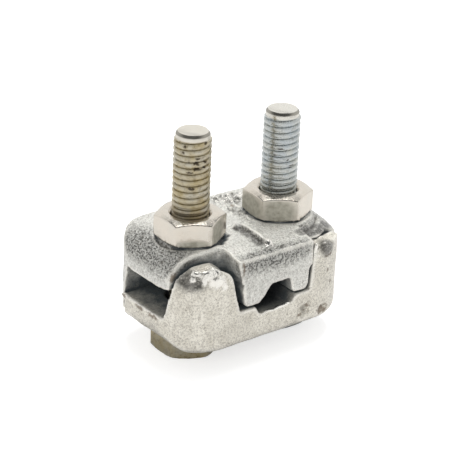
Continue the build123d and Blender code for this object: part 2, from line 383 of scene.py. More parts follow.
# %% Lower casting: drips on the tall lug, the knob and the pit
lower_lumps = [
    # the bright drip, and the swirl beside it
    lump((-19.0, -15.4, 27.6), (2.3, 1.1, 1.3), (-30, 20, -15)),
    lump((-17.2, -16.4, 26.0), (1.9, 1.1, 1.4), (-20, 30, 0)),
    lump((-15.7, -16.8, 24.6), (1.2, 0.7, 0.9)),
    lump((-17.9, -16.7, 24.2), (0.9, 0.6, 0.6)),
    lump((-14.6, -16.6, 26.0), (0.6, 0.6, 0.7)),
    lump((-20.7, -15.5, 26.6), (0.6, 0.6, 1.5), (0, 24, -30)),
    lump((-22.1, -14.7, 28.3), (1.3, 0.7, 0.6), (0, 25, -36)),
    lump((-23.8, -13.3, 28.5), (1.2, 0.7, 0.5), (0, -20, -42)),
    lump((-23.1, -14.1, 26.8), (0.8, 0.6, 0.5), (0, 35, -40)),
    lump((-22.6, -14.3, 24.5), (2.6, 0.6, 0.5), (0, 4, -38)),
    # the knob on the short lug, and the run of zinc beside it
    lump((17.65, -15.9, 25.8), (1.75, 1.6, 1.75)),
    lump((13.7, -16.3, 26.6), (0.75, 0.95, 1.9), (24, 0, 0)),
    lump((15.2, -13.1, 26.7), (2.0, 0.6, 0.8)),
    lump((18.3, -12.9, 26.7), (2.6, 0.8, 0.8)),
    lump((21.2, -12.5, 26.5), (2.2, 0.9, 0.9)),
    lump((22.6, -12.3, 26.6), (1.5, 0.9, 0.9)),
    # a bead on the rim of the left end
    lump((-27.0, 8.0, 14.3), (0.9, 1.8, 0.7)),
    # flash along the front edge of the rope groove
    lump((-0.9, -17.0, 13.35), (1.9, 0.5, 0.42), (0, 4, 0)),
    lump((2.3, -17.05, 13.5), (2.1, 0.5, 0.45), (0, -5, 0)),
    lump((4.6, -16.95, 13.7), (1.2, 0.55, 0.5), (0, -16, 0)),
]
lower = melt_together(copy_of("lower_saddle", "lower_casting"), lower_lumps, casting_voxel)
smooth(lower)
lower_pushes = [
    # worn corners of the tall lug, and the hollow inside the curl
    ((-25.3, -11.8, 28.8), (1.1, 0.5, -1.2), 4.0),
    ((-14.3, -13.8, 28.2), (-0.7, 0.1, -0.8), 3.2),
    ((-24.5, -12.7, 26.3), (0.3, 0.4, 0), 1.8),
    ((-21.9, -15.0, 25.7), (0.3, 0.5, 0), 1.6),
    ((-24.2, -12.6, 28.6), (0.5, 0.5, -0.6), 2.2),
    # the pit with its bump, and a dent near the right end
    ((10.6, -17.25, 10.0), (0, 0.9, 0), 2.6),
    ((9.9, -17.0, 9.6), (0, -0.5, 0), 1.2),
    ((17.0, -16.9, 8.8), (-0.3, 0.8, 0.2), 2.0),
]
for place, move, reach in lower_pushes:
    push(lower, place, move, reach)
roughen(lower, "lower_swell", 7.0, 0.40)
roughen(lower, "lower_grit", 1.1, 0.10)
print("lower casting:", len(lower.data.polygons), "faces")

# %% [markdown]
# ## Upper casting
#
# The upper jaw shows its rib and its slope. Under each nut the metal lies a little lower, as if
# spot-faced, and behind the nuts the zinc is rough and lumpy. The ring under a nut is a lowering
# that depends on the distance from the bolt. The lumps come from a steep noise that lifts the
# skin in places and sinks it a little between them, strongest in the middle of its area.

# %% Upper casting: rib
upper_lumps = [
    # the rib stands taller than its core in the solid, and ends in a drop
    lump((0.1, -5.6, 31.35), (1.0, 3.3, 0.95)),
    lump((0.1, -10.0, 31.05), (1.0, 3.4, 1.05), (8, 0, 0)),
    lump((0.4, -13.5, 30.6), (1.1, 1.7, 1.0), (11, 0, 12)),
    # two drops beside its back end
    lump((-1.6, -2.6, 31.1), (0.9, 0.8, 0.8), (0, 0, 25)),
    lump((-3.1, -2.9, 31.0), (0.8, 0.6, 0.6)),
]
upper = melt_together(copy_of("upper_saddle", "upper_casting"), upper_lumps, casting_voxel)
smooth(upper)

# %% Upper casting: rings under the nuts, lumps behind them, step of the leg
ring_floor_z = 28.6
ring_floor_fade = 0.8
ring_inner_fade = 0.5
ring_outer_fade = 0.8
lump_start = 0.1
lump_power = 0.7
lump_sink = 0.25


def sink_ring(piece, centre_x, inner, outer, depth):
    """Lowers the top around a nut, from inside its corners out to a soft rim; in millimetres."""
    spots = points_of(piece)
    away = np.hypot(spots[:, 0] - centre_x * mm, spots[:, 1]) / mm
    rise = np.clip((away - inner) / ring_inner_fade, 0, 1)
    fall = np.clip((outer - away) / ring_outer_fade, 0, 1)
    fall = fall * fall * (3 - 2 * fall)
    top = np.clip((spots[:, 2] / mm - ring_floor_z) / ring_floor_fade, 0, 1)
    spots[:, 2] -= rise * fall * top * depth * mm
    place_points(piece, spots)


def crumple(piece, middle, size, height, grain):
    """Lumps of zinc: moves the skin up and down in a soft-edged area by a noise; millimetres."""
    spots = points_of(piece)
    away = np.linalg.norm((spots / mm - np.array(middle)) / np.array(size), axis=1)
    for index in np.nonzero(away < 1)[0]:
        swell = mathutils.noise.noise(Vector(spots[index] / mm / grain))
        lift = max(0, swell + lump_start) ** lump_power - lump_sink
        spots[index, 2] += height * lift * (1 - away[index] ** 2) * mm
    place_points(piece, spots)


# the step at the left of the leg
push(upper, (-11.1, -16.9, 23.2), (1.25, 0, 0.2), 2.8)
push(upper, (-11.1, -14.4, 23.2), (1.25, 0, 0.2), 2.8)
push(upper, (-11.1, -16.9, 25.8), (0.6, 0, 0), 2.6)
# the hollow along the left side of the rib, and the wedge beside the left nut
for rib_y in (-4.5, -6.5, -8.5, -10.5, -12.5):
    push(upper, (-1.5, rib_y, 31.2 + min(0, rib_y + 8) * 0.12), (0.1, 0, -0.55), 1.7)
for wedge in ((-6.6, -5.0, 31), (-8.4, -6.5, 31), (-10.3, -7.7, 31)):
    push(upper, wedge, (0, 0, -0.9), 1.7)
# the rings under the nuts, and the lumps behind and beside the right one
sink_ring(upper, -13.7, 7.5, 9.0, 0.5)
sink_ring(upper, 14.5, 7.6, 9.0, 0.4)
crumple(upper, (8.0, 12.0, 31), (7.0, 5.0, 3), 1.8, 1.5)
crumple(upper, (5.2, 5.0, 31), (3.0, 6.0, 3), 1.5, 1.2)
crumple(upper, (3.8, -2.5, 31), (1.6, 6.5, 3), 1.3, 1.0)
roughen(upper, "upper_swell", 6.0, 0.40)
roughen(upper, "upper_grit", 1.0, 0.14)
print("upper casting:", len(upper.data.polygons), "faces")

# %% [markdown]
# ## Bolts with real threads
#
# The solids carry plain shanks. A rolled thread is a groove that climbs by one pitch a turn, so we
# draw one pitch of its outline, let the Screw modifier turn it up the bolt, and cut the spiral
# flat at both ends. Zinc has filled the bottom of the thread and wear has rounded its crest, so
# it is not as deep and sharp as in a new bolt.

# %% Thread outline and sizes
pitch = 25.4 / 16
bolt_radius = 4.725
thread_depth = 0.50
crest_flat = 0.38
root_flat = 0.22
thread_rounding = 0.32
head_height = 6.3
bolt_end_z = 59.0
end_chamfer = 0.7
ring_length = 1.1
ring_radius = bolt_radius - 0.42
end_radius = bolt_radius - 0.95
across_flats = 15.875
hexagon_radius = across_flats / 2 / math.cos(math.radians(30))
bolt_places = {"left": -13.7, "right": 14.5}
head_turns = {"left": 30, "right": 55}
nut_turns = {"left": 30, "right": 25}
print("thread:", round(pitch, 3), "mm pitch,", thread_depth, "mm deep")


# %% Helpers for round and six-sided pieces
def cylinder(name, radius, low, high, corners=72, turn=0.0):
    """A capped cylinder or prism about the Z axis between two heights, in millimetres."""
    bpy.ops.object.select_all(action="DESELECT")
    bpy.ops.mesh.primitive_cylinder_add(
        vertices=corners,
        radius=radius * mm,
        depth=(high - low) * mm,
        location=(0, 0, (low + high) / 2 * mm),
        rotation=(0, 0, math.radians(turn)),
    )
    made = bpy.context.object
    made.name = name
    bpy.ops.object.transform_apply(location=True, rotation=True, scale=True)
    return made


def select_faces(piece, wanted):
    """Goes into edit mode with only the faces selected whose middle and normal are wanted."""
    only(piece)
    bpy.ops.object.mode_set(mode="EDIT")
    bpy.ops.mesh.select_mode(type="FACE")
    bpy.ops.mesh.select_all(action="DESELECT")
    bpy.ops.object.mode_set(mode="OBJECT")
    for face in piece.data.polygons:
        face.select = wanted(face.center / mm, face.normal)
    bpy.ops.object.mode_set(mode="EDIT")


def taper_end(piece, at_z, by, to_radius, from_radius):
    """Extrudes the end face at a height by some millimetres and narrows it to a radius."""
    up = 1 if by > 0 else -1
    select_faces(piece, lambda middle, normal: normal.z * up > 0.9 and abs(middle.z - at_z) < 0.05)
    bpy.ops.mesh.extrude_region_move(TRANSFORM_OT_translate={"value": (0, 0, by * mm)})
    shrink = to_radius / from_radius
    bpy.ops.transform.resize(value=(shrink, shrink, 1), center_override=(0, 0, (at_z + by) * mm))
    bpy.ops.object.mode_set(mode="OBJECT")


def combine(piece, tool, how):
    """Joins, cuts or keeps the common part of two closed pieces, and removes the tool."""
    finish_modifier(piece, "BOOLEAN", object=tool, operation=how, solver="EXACT")
    mesh = tool.data
    bpy.data.objects.remove(tool)
    bpy.data.meshes.remove(mesh)


# %% One threaded rod
def thread_rod(name, low, high):
    """A threaded rod about the Z axis: one pitch of outline, turned up and cut flat."""
    bpy.ops.object.select_all(action="DESELECT")
    bpy.ops.mesh.primitive_plane_add(size=0.001 * mm, location=(0, 0, 0))
    rod = bpy.context.object
    rod.name = name
    bpy.ops.object.mode_set(mode="EDIT")
    bpy.ops.mesh.select_all(action="SELECT")
    bpy.ops.mesh.merge(type="CENTER")
    bpy.ops.transform.translate(value=(bolt_radius * mm, 0, (low - 2 * pitch) * mm))
    flank = (pitch - crest_flat - root_flat) / 2
    easing = thread_rounding / 3
    steps = [
        (0, crest_flat),
        (-easing, thread_rounding),
        (easing - thread_depth, flank - thread_rounding),
        (0, root_flat),
        (thread_depth - easing, flank - thread_rounding),
        (easing, thread_rounding),
    ]
    for out, up in steps:
        bpy.ops.mesh.extrude_vertices_move(TRANSFORM_OT_translate={"value": (out * mm, 0, up * mm)})
    bpy.ops.object.mode_set(mode="OBJECT")
    turns = math.ceil((high - low) / pitch) + 4
    finish_modifier(
        rod,
        "SCREW",
        axis="Z",
        angle=math.tau,
        screw_offset=pitch * mm,
        iterations=turns,
        steps=40,
        render_steps=40,
        use_merge_vertices=True,
        merge_threshold=0.005 * mm,
        use_smooth_shade=True,
    )
    only(rod)
    bpy.ops.object.mode_set(mode="EDIT")
    bpy.ops.mesh.select_all(action="SELECT")
    bpy.ops.mesh.remove_doubles(threshold=0.005 * mm)
    for end, way in ((low, -1), (high, 1)):
        bpy.ops.mesh.bisect(
            plane_co=(0, 0, end * mm),
            plane_no=(0, 0, way),
            clear_outer=True,
            use_fill=True,
        )
        bpy.ops.mesh.select_all(action="SELECT")
    bpy.ops.mesh.normals_make_consistent(inside=False)
    bpy.ops.object.mode_set(mode="OBJECT")
    return rod


rod = thread_rod("thread_master", head_height - 0.4, bolt_end_z)
print("rod:", len(rod.data.polygons), "faces over", round(bolt_end_z - head_height, 1), "mm")

# %% [markdown]
# The end of the bolt is turned down to a short smooth ring, as thin as the bottom of the thread,
# and has a bevelled rim. We cut a loop where each begins and set everything above it to the
# radius that the ring or the bevel has at that height.

# %% Bolt end
def shape_end(piece, ring_radius, ring_low, bevel_low, top, top_radius):
    """Turns the end of a rod into a smooth ring with a bevelled rim; all in millimetres."""
    only(piece)
    bpy.ops.object.mode_set(mode="EDIT")
    for height in (ring_low, bevel_low):
        bpy.ops.mesh.select_all(action="SELECT")
        bpy.ops.mesh.bisect(plane_co=(0, 0, height * mm), plane_no=(0, 0, 1))
    bpy.ops.object.mode_set(mode="OBJECT")
    for vertex in piece.data.vertices:
        height = vertex.co.z / mm
        if height > ring_low - 0.002:
            share = max(0, (height - bevel_low) / (top - bevel_low))
            radius = ring_radius + (top_radius - ring_radius) * share
            vertex.co.xy *= radius * mm / vertex.co.xy.length


bevel_low = bolt_end_z - end_chamfer
shape_end(rod, ring_radius, bevel_low - ring_length, bevel_low, bolt_end_z, end_radius)
print("bolt end:", round(bolt_end_z - bevel_low + ring_length, 1), "mm without thread")

# %% [markdown]
# Heads and nuts are forged from hexagon bar, and a tool has turned their corners back to a cone.
# The part that a six-sided prism and a cone-ended cylinder share has exactly that shape, with the
# curved edges that the corners of a real nut have.

# %% Hexagon for heads and nuts
cone_slack = 0.1
bottom_cone = {"back": 0.62, "ratio": 0.975}
top_cone = {"back": 1.0, "ratio": 0.87}


def hexagon(name, low, height, turn, top_too):
    """A forged hexagon whose corners are cut back by a cone below, and above too if asked."""
    high = low + height
    wide = hexagon_radius + cone_slack
    cone_low = low + bottom_cone["back"]
    cone_high = high - (top_cone["back"] if top_too else 0)
    block = cylinder(name, hexagon_radius, low, high, corners=6, turn=turn)
    cone = cylinder("cone_limit", wide, cone_low, cone_high, corners=96)
    taper_end(cone, cone_low, -bottom_cone["back"], across_flats / 2 * bottom_cone["ratio"], wide)
    if top_too:
        taper_end(cone, cone_high, top_cone["back"], across_flats / 2 * top_cone["ratio"], wide)
    combine(block, cone, "INTERSECT")
    return block


def move_by(piece, x):
    """Moves a finished piece along X in its mesh, so that its object stays at the origin."""
    piece.data.transform(Matrix.Translation((x * mm, 0, 0)))


# %% Two bolts from one thread
small_voxel = {"head": 0.22 * mm, "nut": 0.17 * mm}
bolts = {}
for side, x in bolt_places.items():
    head = hexagon(side + "_head", 0, head_height, head_turns[side] + 30, False)
    melt_together(head, [], small_voxel["head"])
    smooth(head)
    roughen(head, side + "_head_grit", 1.6, 0.12)
    bolt = rod.copy()
    bolt.data = rod.data.copy()
    bolt.name = side + "_threaded_bolt"
    bpy.context.collection.objects.link(bolt)
    only(bolt, head)
    bpy.ops.object.join()
    only(bolt)
    bpy.ops.object.shade_smooth_by_angle(angle=math.radians(38))
    move_by(bolt, x)
    bolts[side] = bolt
    print(bolt.name, len(bolt.data.polygons), "faces")
bpy.data.objects.remove(rod)

# %% [markdown]
# ## Nuts
#
# The nuts are common hexagon nuts, cut back at their corners above and below, with a countersink
# at both ends of the bore. Zinc has gathered as tiny beads along the lower edges in front. Each
# bead is a small ball at the edge of the hexagon, placed by its angle in degrees, with a little
# chance in its size and place. The chance has a fixed seed, so a nut always comes out the same.

# %% Bore of a nut
nut_height = 6.6
nut_low = nut_seat_z / mm
nut_high = nut_low + nut_height
bore_radius = bolt_radius + 0.14
countersink = 0.75
cut_over = 0.2


def drill(nut):
    """Cuts the bore and its two countersinks out of a nut."""
    mouth = bore_radius + countersink + cut_over
    bore = cylinder("bore", bore_radius, nut_low + countersink, nut_high - countersink)
    taper_end(bore, nut_low + countersink, -countersink - cut_over, mouth, bore_radius)
    taper_end(bore, nut_high - countersink, countersink + cut_over, mouth, bore_radius)
    combine(nut, bore, "DIFFERENCE")


# %% Zinc beads along the lower edges
bead_count = 26
first_bead_angle = -170
bead_angle_step = 6.2
bead_corner_share = 0.965
bead_depth = 0.12
bead_seeds = {"left": 11, "right": 23}


def beads_of(side):
    """Small balls of zinc along the lower edges at the front of a nut."""
    chance = np.random.default_rng(bead_seeds[side])
    beads = []
    for step in range(bead_count):
        angle = math.radians(first_bead_angle + step * bead_angle_step + chance.uniform(-2, 2))
        corner = (math.degrees(angle) - nut_turns[side]) % 60 - 30
        flat = across_flats / 2 / math.cos(math.radians(corner))
        reach = min(flat, hexagon_radius * bead_corner_share) - bead_depth
        size = chance.uniform(0.22, 0.42)
        height = nut_low + chance.uniform(0.35, 0.75)
        spot = (reach * math.cos(angle), reach * math.sin(angle), height)
        beads.append(lump(spot, (size, size, size * 0.8)))
    return beads


# %% Two nuts
nuts = {}
for side, x in bolt_places.items():
    nut = hexagon(side + "_hexagon_nut", nut_low, nut_height, nut_turns[side] + 30, True)
    drill(nut)
    melt_together(nut, beads_of(side), small_voxel["nut"])
    smooth(nut, 5)
    roughen(nut, side + "_nut_dents", 2.4, 0.16)
    move_by(nut, x)
    nuts[side] = nut
    print(nut.name, len(nut.data.polygons), "faces")

# %% [markdown]
# ## Finishes
#
# Galvanised iron is not one grey. It is a pale metal with fine dark specks, cloudy patches and brown
# stains where water stood, and the hollows are darker. Shade and reflection are painted in as well:
# painted shade deep between the castings and a painted dark reflection on slopes that face up.
# We first measure each skin: whether a place lies in a hollow, on an edge or deep between the
# castings, and which way it faces. The numbers are kept as colours on the vertices, and the
# materials mix them with noise.
#
# How shut in a place is comes from rays: from each vertex we look in fourteen directions over the
# half sphere in front of it and count how many meet the clip close by. A hollow or an edge shows
# in how the surface bends: the links to its neighbours rise above the vertex's own tangent plane
# in a hollow, and fall below it on an edge.

# %% How shut in a place is
sky_count = 14
sky_reach = 14 * mm
sky_start = 0.25 * mm
crowd = bmesh.new()
for piece in (lower, upper, *bolts.values(), *nuts.values()):
    crowd.from_mesh(piece.data)
shade_tree = BVHTree.FromBMesh(crowd)
crowd.free()
golden_angle = math.pi * (3 - math.sqrt(5))
sky = [
    Vector((
        math.cos(k * golden_angle) * math.sqrt(u),
        math.sin(k * golden_angle) * math.sqrt(u),
        math.sqrt(1 - u),
    ))
    for k, u in enumerate((np.arange(sky_count) + 0.5) / sky_count)
]


def shut_in(spot, normal):
    """The share of the directions over a place that meet the clip within a reach."""
    turn = normal.to_track_quat("Z", "Y")
    start = spot + normal * sky_start
    met = sum(shade_tree.ray_cast(start, turn @ way, sky_reach)[0] is not None for way in sky)
    return met / len(sky)


# %% Hollows, edges and slopes
bend_gain = 5
bend_rounds = 6
hidden_rounds = 3


def measure_skin(piece):
    """Writes "weather": red a hollow, green an edge, blue how far it faces up, alpha how shut in."""
    mesh = piece.data
    count = len(mesh.vertices)
    spots = points_of(piece)
    normals = np.empty(count * 3)
    mesh.vertex_normals.foreach_get("vector", normals)
    normals = normals.reshape(-1, 3)
    edges = np.empty(len(mesh.edges) * 2, dtype=np.int32)
    mesh.edges.foreach_get("vertices", edges)
    a, b = edges.reshape(-1, 2).T
    links = (np.bincount(a, minlength=count) + np.bincount(b, minlength=count)).clip(1)

    def eased(values, rounds):
        """Values of the vertices, each mixed with its neighbours' some rounds."""
        for _ in range(rounds):
            near = np.bincount(a, values[b], count) + np.bincount(b, values[a], count)
            values = (values + near / links) / 2
        return values

    step = spots[b] - spots[a]
    step /= np.linalg.norm(step, axis=1)[:, None].clip(1e-9)
    rise = np.bincount(a, (step * normals[a]).sum(1), count)
    rise += np.bincount(b, (-step * normals[b]).sum(1), count)
    bend = eased(rise / links, bend_rounds)
    hidden = np.array([shut_in(Vector(p), Vector(n)) for p, n in zip(spots, normals)])
    colours = np.ones((count, 4))
    colours[:, 0] = (bend * bend_gain).clip(0, 1)
    colours[:, 1] = (-bend * bend_gain).clip(0, 1)
    colours[:, 2] = (normals[:, 2] * 0.5 + 0.5).clip(0, 1)
    colours[:, 3] = eased(hidden, hidden_rounds)
    layer = mesh.color_attributes.new(name="shape_measures", type="FLOAT_COLOR", domain="POINT")
    layer.data.foreach_set("color", colours.ravel())
    print(piece.name, "is shut in by", round(hidden.mean() * 100), "percent on average")


# the measures drive the painted shade, the painted dark reflection and the darker hollows of the
# castings
for piece in (lower, upper):
    measure_skin(piece)

# %% [markdown]
# Every finish below is built from the same few parts: noise at some scale, a soft patch at one
# place on the piece, the strongest of several masks, a bump, and the metal shader at the end.
# The patches stand for what happened at that one place on the real clip, such as a drip.

# %% Shared parts of the finishes
def noise(tree, place, scale, detail=3.0, roughness=0.55):
    """Soft noise; the scale is the size of a blotch in millimetres."""
    wanted = {"Vector": place, "Scale": 1 / (scale * mm), "Detail": detail, "Roughness": roughness}
    return node(tree, "TexNoise", wanted).outputs["Fac"]


def patch(tree, place, middle, size, ragged=None):
    """1 at a place on the piece, fading to 0 over a size in millimetres; ragged edges if asked."""
    off = vector_maths(tree, "ADD", place, [-c * mm for c in middle])[0]
    scaled = vector_maths(tree, "MULTIPLY", off, [1 / (c * mm) for c in size])[0]
    far = vector_maths(tree, "LENGTH", scaled)["Value"]
    if ragged is not None:
        shift = maths(tree, "SUBTRACT", ragged, 0.5)
        far = plus(tree, far, times(tree, shift, 3.0))
    return ramp(tree, far, 1.2, 0.6)


def together(tree, masks):
    """The strongest of several masks."""
    total = masks[0]
    for mask in masks[1:]:
        total = maths(tree, "MAXIMUM", total, mask)
    return total


def patches(tree, place, rows, ragged=None):
    """The strongest of the patches in a list of places and sizes."""
    return together(tree, [patch(tree, place, spot, size, ragged) for spot, size in rows])


def bump(tree, height, strength, distance):
    """A bump of a height in millimetres."""
    wanted = {"Height": height, "Strength": strength, "Distance": distance * mm}
    return node(tree, "Bump", wanted).outputs[0]


def metal(tree, colour, roughness, normal, metallic):
    """The shader that all the finishes end in."""
    shader = node(
        tree,
        "BsdfPrincipled",
        {"Base Color": colour, "Roughness": roughness, "Normal": normal, "Metallic": metallic},
    )
    node(tree, "OutputMaterial", {"Surface": shader.outputs[0]})


# %% [markdown]
# ## Galvanised castings
#
# Hot-dip zinc on a sand casting is a pale sandy grey with a mottle of dark grain. On slopes that
# face up and at a few listed places the grain is made darker as a painted dark reflection.
# Edges are rubbed clean and small hollows are darker. Stains are brown with ragged edges, darker
# patches are painted shade on the upper jaw, runs of zinc are bright and smooth, and between the
# two jaws a slate grey painted shade covers the metal, near black in the rope channel. The layers
# are laid over each other in that order, each through its own mask, and roughness and metallic
# follow the same masks.

# %% Galvanised castings
speck_brown = (0.15, 0.12, 0.085, 1)
sand_grey = (0.32, 0.30, 0.27, 1)
rubbed_edge = (0.86, 0.84, 0.78, 1)
# darker in small hollows
hollow_dark = (0.10, 0.09, 0.075, 1)
stain_brown = (0.14, 0.10, 0.06, 1)
# darker patches: painted shade on the upper jaw, darker spots on the lower one
shade_and_dark_colour = (0.095, 0.092, 0.086, 1)
bright_zinc = (0.90, 0.88, 0.83, 1)
# painted shade: slate grey between the jaws, near black in the rope channel
slate_painted_shade = (0.055, 0.072, 0.084, 1)
deep_painted_shade = (0.014, 0.015, 0.017, 1)


def galvanised(name, pale, middle, dark, grain, sandy, mottle_and_reflection_spots, stains, shiny, shade_and_dark, shade_spots):
    """Zinc skin on iron: sandy ground, dark grain, stains, bright runs, painted shade and
    reflection.
    """
    material, tree = new_tree(name)
    place = node(tree, "TexCoord").outputs["Object"]
    shape_measures = node(tree, "VertexColor", layer_name="shape_measures").outputs
    measured = node(tree, "SeparateColor", {0: shape_measures["Color"]}).outputs
    cloudy = noise(tree, place, 4.5, 4)
    blotchy = noise(tree, place, 2.2, 4, 0.6)
    grainy = noise(tree, place, 0.50, 3, 0.65)
    fine = noise(tree, place, 0.42, 2, 0.6)
    sand = noise(tree, place, 0.52, 3, 0.75)

    # cloudy ground with grains of sand
    colour = blend_colour(tree, ramp(tree, cloudy, 0.35, 0.65), pale, middle)
    sand = times(tree, ramp(tree, sand, 0.54, 0.40), sandy)
    colour = blend_colour(tree, sand, colour, sand_grey)
    # darker grain, made stronger on slopes that face up and at listed places: painted dark
    # reflection
    slope = ramp(tree, measured["Blue"], 0.63, 0.77)
    slope = times(tree, slope, ramp(tree, measured["Blue"], 0.97, 0.86))
    mottle_and_reflection = together(tree, [slope] + [patch(tree, place, *row) for row in mottle_and_reflection_spots])
    colour = blend_colour(tree, times(tree, mottle_and_reflection, grain * 0.36), colour, dark)
    cover = plus(tree, times(tree, mottle_and_reflection, 0.85), times(tree, blotchy, 0.4), clamp=True)
    speckle = times(tree, ramp(tree, grainy, 0.45, 0.56), cover)
    colour = blend_colour(tree, times(tree, speckle, grain), colour, dark)
    # single dark specks, a little brown
    specks = times(tree, ramp(tree, fine, 0.58, 0.66), ramp(tree, blotchy, 0.42, 0.60))
    colour = blend_colour(tree, times(tree, specks, 0.7), colour, speck_brown)
    # clean metal on edges, darker in small hollows
    edge = times(tree, ramp(tree, measured["Green"], 0.10, 0.45), 0.75)
    colour = blend_colour(tree, edge, colour, rubbed_edge)
    hollow = times(tree, measured["Red"], plus(tree, blotchy, 0.35))
    colour = blend_colour(tree, ramp(tree, hollow, 0.12, 0.60), colour, hollow_dark)
    # brown stains with ragged edges, and darker patches, painted shade on the upper jaw
    brown = patches(tree, place, stains, noise(tree, place, 0.9, 3))
    colour = blend_colour(tree, times(tree, brown, 0.8), colour, stain_brown)
    shade_and_dark_spots = times(tree, patches(tree, place, shade_and_dark), ramp(tree, grainy, 0.20, 0.50))
    colour = blend_colour(tree, times(tree, shade_and_dark_spots, 0.85), colour, shade_and_dark_colour)
    # runs of bright zinc
    wet = patches(tree, place, shiny, blotchy)
    colour = blend_colour(tree, times(tree, wet, 0.9), colour, bright_zinc)
    # painted shade, slate grey, where the clip is shut in and little light gets in, near black in
    # the rope channel
    uneven = times(tree, maths(tree, "SUBTRACT", blotchy, 0.5), 0.2)
    painted_shade = plus(tree, shape_measures["Alpha"], uneven)
    deep = patches(tree, place, shade_spots)
    painted_shade = maths(tree, "MAXIMUM", ramp(tree, painted_shade, 0.40, 0.80), deep)
    colour = blend_colour(tree, times(tree, painted_shade, 0.93), colour, slate_painted_shade)
    colour = blend_colour(tree, times(tree, deep, 0.8), colour, deep_painted_shade)

    # bright runs are smooth and all metal; stains and the painted shade are rough and hardly metal
    rough = plus(tree, times(tree, grainy, 0.20), 0.20)
    rough = maths(tree, "SUBTRACT", rough, times(tree, wet, 0.30), clamp=True)
    rough = plus(tree, rough, times(tree, painted_shade, 0.3))
    covered = together(tree, [painted_shade, brown])
    metallic = maths(tree, "SUBTRACT", 0.62, times(tree, covered, 0.5))
    metallic = plus(tree, metallic, times(tree, wet, 0.33))
    # the grit of the skin, and soft waves instead of it in the bright runs
    relief = plus(tree, times(tree, grainy, 0.7), times(tree, fine, 0.3))
    waves = times(tree, noise(tree, place, 1.0, 2), 1.3)
    relief = blend_colour(tree, wet, relief, waves)
    metal(tree, colour, rough, bump(tree, relief, 1.0, 0.30 * grain + 0.08), metallic)
    print(name, "has", len(tree.nodes), "nodes")
    return material


# %% Finish of the lower casting
lower_stains = [
    # the dent and the pit low on the front, and small spots above them
    ((17.0, -17.1, 8.7), (1.8, 1.4, 1.2)),
    ((11.6, -17.2, 10.6), (0.9, 0.8, 1.6)),
    ((18.3, -16.8, 19.7), (0.4, 0.5, 0.8)),
    ((19.8, -16.3, 15.7), (0.4, 0.5, 0.7)),
    ((9.6, -17.2, 9.2), (1.2, 1.0, 0.5)),
    # the rim of the left end
    ((-27.4, 1.7, 13.9), (0.7, 1.6, 0.5)),
    ((-27.4, -3.9, 13.7), (0.7, 1.9, 0.6)),
    ((-27.0, 8.7, 14.2), (1.0, 1.2, 0.6)),
    # under the knob
    ((17.9, -16.9, 23.9), (2.4, 0.8, 0.4)),
]
lower_shiny = [
    # the bright drip on the tall lug, and the curl that ends in it
    ((-18.8, -15.8, 28.0), (3.3, 2.0, 1.6)),
    ((-17.3, -16.8, 26.0), (2.3, 1.6, 1.7)),
    ((-15.6, -17.0, 24.6), (1.3, 1.0, 1.0)),
    ((-20.8, -15.8, 26.7), (0.7, 0.9, 1.6)),
    ((-22.2, -14.9, 28.5), (1.6, 1.1, 0.7)),
    ((-23.9, -13.5, 28.7), (1.4, 1.2, 0.6)),
    ((-23.2, -14.2, 26.9), (0.6, 0.8, 0.6)),
    # the run of zinc beside the knob
    ((13.9, -16.4, 27.2), (1.5, 1.5, 2.5)),
    # flash along the front edge of the channel
    ((-0.6, -17.2, 13.5), (1.7, 0.7, 0.4)),
    ((2.6, -17.2, 13.6), (2.0, 0.7, 0.4)),
    ((5.0, -17.2, 14.0), (1.2, 0.7, 0.5)),
]
lower_darkened = [
    # the knob on the short lug
    ((17.65, -16.6, 26.2), (2.9, 3.0, 2.7)),
    # darker inside the curl
    ((-23.4, -13.8, 26.2), (4.5, 4.0, 2.9)),
]
# painted shade, near black, on the floor of the rope channel
rope_channel_floor = [((1.5, -9.5, 14.5), (8.5, 6.6, 4.5))]
lower_zinc = galvanised(
    "galvanised_lower",
    pale=(0.85, 0.82, 0.735, 1),
    middle=(0.71, 0.68, 0.60, 1),
    dark=(0.30, 0.275, 0.225, 1),
    grain=0.45,
    sandy=0.60,
    mottle_and_reflection_spots=[],
    stains=lower_stains,
    shiny=lower_shiny,
    shade_and_dark=lower_darkened,
    shade_spots=rope_channel_floor,
)

